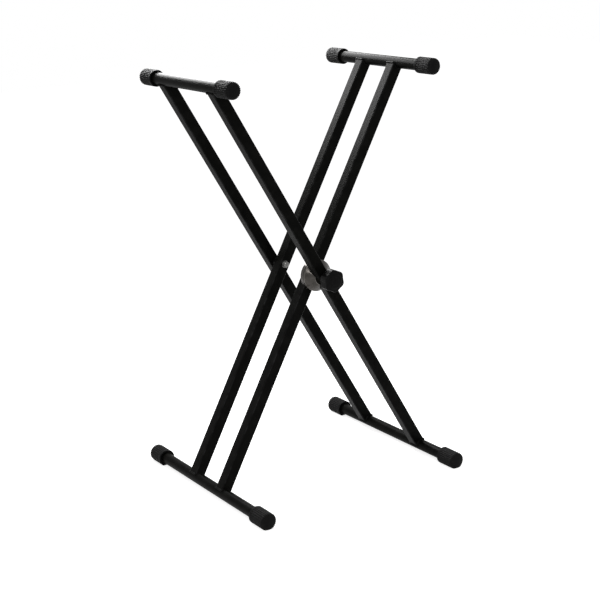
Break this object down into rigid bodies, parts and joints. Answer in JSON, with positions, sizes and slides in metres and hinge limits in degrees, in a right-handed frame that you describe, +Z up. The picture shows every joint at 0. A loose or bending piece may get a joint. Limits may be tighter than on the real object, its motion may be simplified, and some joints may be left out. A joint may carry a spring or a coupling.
{
  "type": "keyboard stand",
  "caption": "Folding X-shaped keyboard stand with double-braced tube legs, cross bars with ribbed end caps, and a toothed clutch clamped by a lobed knob.",
  "frame": {"origin": "on the floor, straight below the fold axis, midway along the cross bars", "axes": "+Z up; the fold axis and the cross bars run along Y, with the clamping knob on the -Y side; the top of the outer frame leans towards -X and the top of the inner frame towards +X"},
  "size_m": [0.5362, 0.4877, 0.9029],
  "materials": {
    "black_powder_coat": "satin black powder coat on steel tube",
    "cap_rubber": "matte moulded",
    "cast_zinc": "bare die-cast zinc, dull",
    "knob_plastic": "moulded, fine grain",
    "zinc_plated_steel": "bright zinc plate",
    "spring_steel": "drawn wire",
    "brass": "turned"
  },
  "bodies": {
    "outer_frame": {"outer_leg_near": "black_powder_coat", "outer_leg_far": "black_powder_coat", "outer_top_bar": "black_powder_coat", "outer_foot_bar": "black_powder_coat", "outer_top_cap_near": "cap_rubber", "outer_top_cap_far": "cap_rubber", "clutch_outer_half": "cast_zinc", "pivot_bolt": "zinc_plated_steel", "pivot_spacer": "knob_plastic", "pivot_washer": "zinc_plated_steel", "pivot_nut": "zinc_plated_steel"},
    "inner_frame": {"inner_leg_near": "black_powder_coat", "inner_leg_far": "black_powder_coat", "inner_top_bar": "black_powder_coat", "inner_foot_bar": "black_powder_coat", "inner_top_cap_near": "cap_rubber", "inner_top_cap_far": "cap_rubber", "clutch_inner_half": "cast_zinc", "clutch_bolt": "zinc_plated_steel", "clutch_spring": "spring_steel"},
    "outer_near_foot": {"outer_foot_cap_near": "cap_rubber"},
    "outer_far_foot": {"outer_foot_cap_far": "cap_rubber"},
    "inner_near_foot": {"inner_foot_cap_near": "cap_rubber"},
    "inner_far_foot": {"inner_foot_cap_far": "cap_rubber"},
    "washer": {"knob_washer": "zinc_plated_steel"},
    "clamp_knob": {"knob": "knob_plastic", "knob_insert": "brass"}
  },
  "joints": [
    {"name": "fold", "type": "hinge", "parent": "outer_frame", "child": "inner_frame", "pos_m": [0, 0, 0.45904], "axis": [0, 1, 0], "range_deg": [-54, 50]},
    {"name": "knob_travel", "type": "slide", "parent": "outer_frame", "child": "washer", "axis": [0, -1, 0], "range_m": [0, 0.0026]},
    {"name": "knob_turn", "type": "hinge", "parent": "washer", "child": "clamp_knob", "pos_m": [0, -0.13, 0.45904], "axis": [0, -1, 0], "range_deg": [0, 720]},
    {"name": "outer_near_foot_turn", "type": "hinge", "parent": "outer_frame", "child": "outer_near_foot", "pos_m": [0.24917, -0.21525, 0.016], "axis": [0, 1, 0], "range_deg": [-60, 60]},
    {"name": "outer_far_foot_turn", "type": "hinge", "parent": "outer_frame", "child": "outer_far_foot", "pos_m": [0.24917, 0.21525, 0.016], "axis": [0, 1, 0], "range_deg": [-60, 60]},
    {"name": "inner_near_foot_turn", "type": "hinge", "parent": "inner_frame", "child": "inner_near_foot", "pos_m": [-0.24917, -0.2145, 0.016], "axis": [0, 1, 0], "range_deg": [-60, 60]},
    {"name": "inner_far_foot_turn", "type": "hinge", "parent": "inner_frame", "child": "inner_far_foot", "pos_m": [-0.24917, 0.2205, 0.016], "axis": [0, 1, 0], "range_deg": [-60, 60]}
  ],
  "couplings": [
    {"joint": "knob_travel", "follows": "knob_turn", "m_per_rad": 0.00019894}
  ]
}
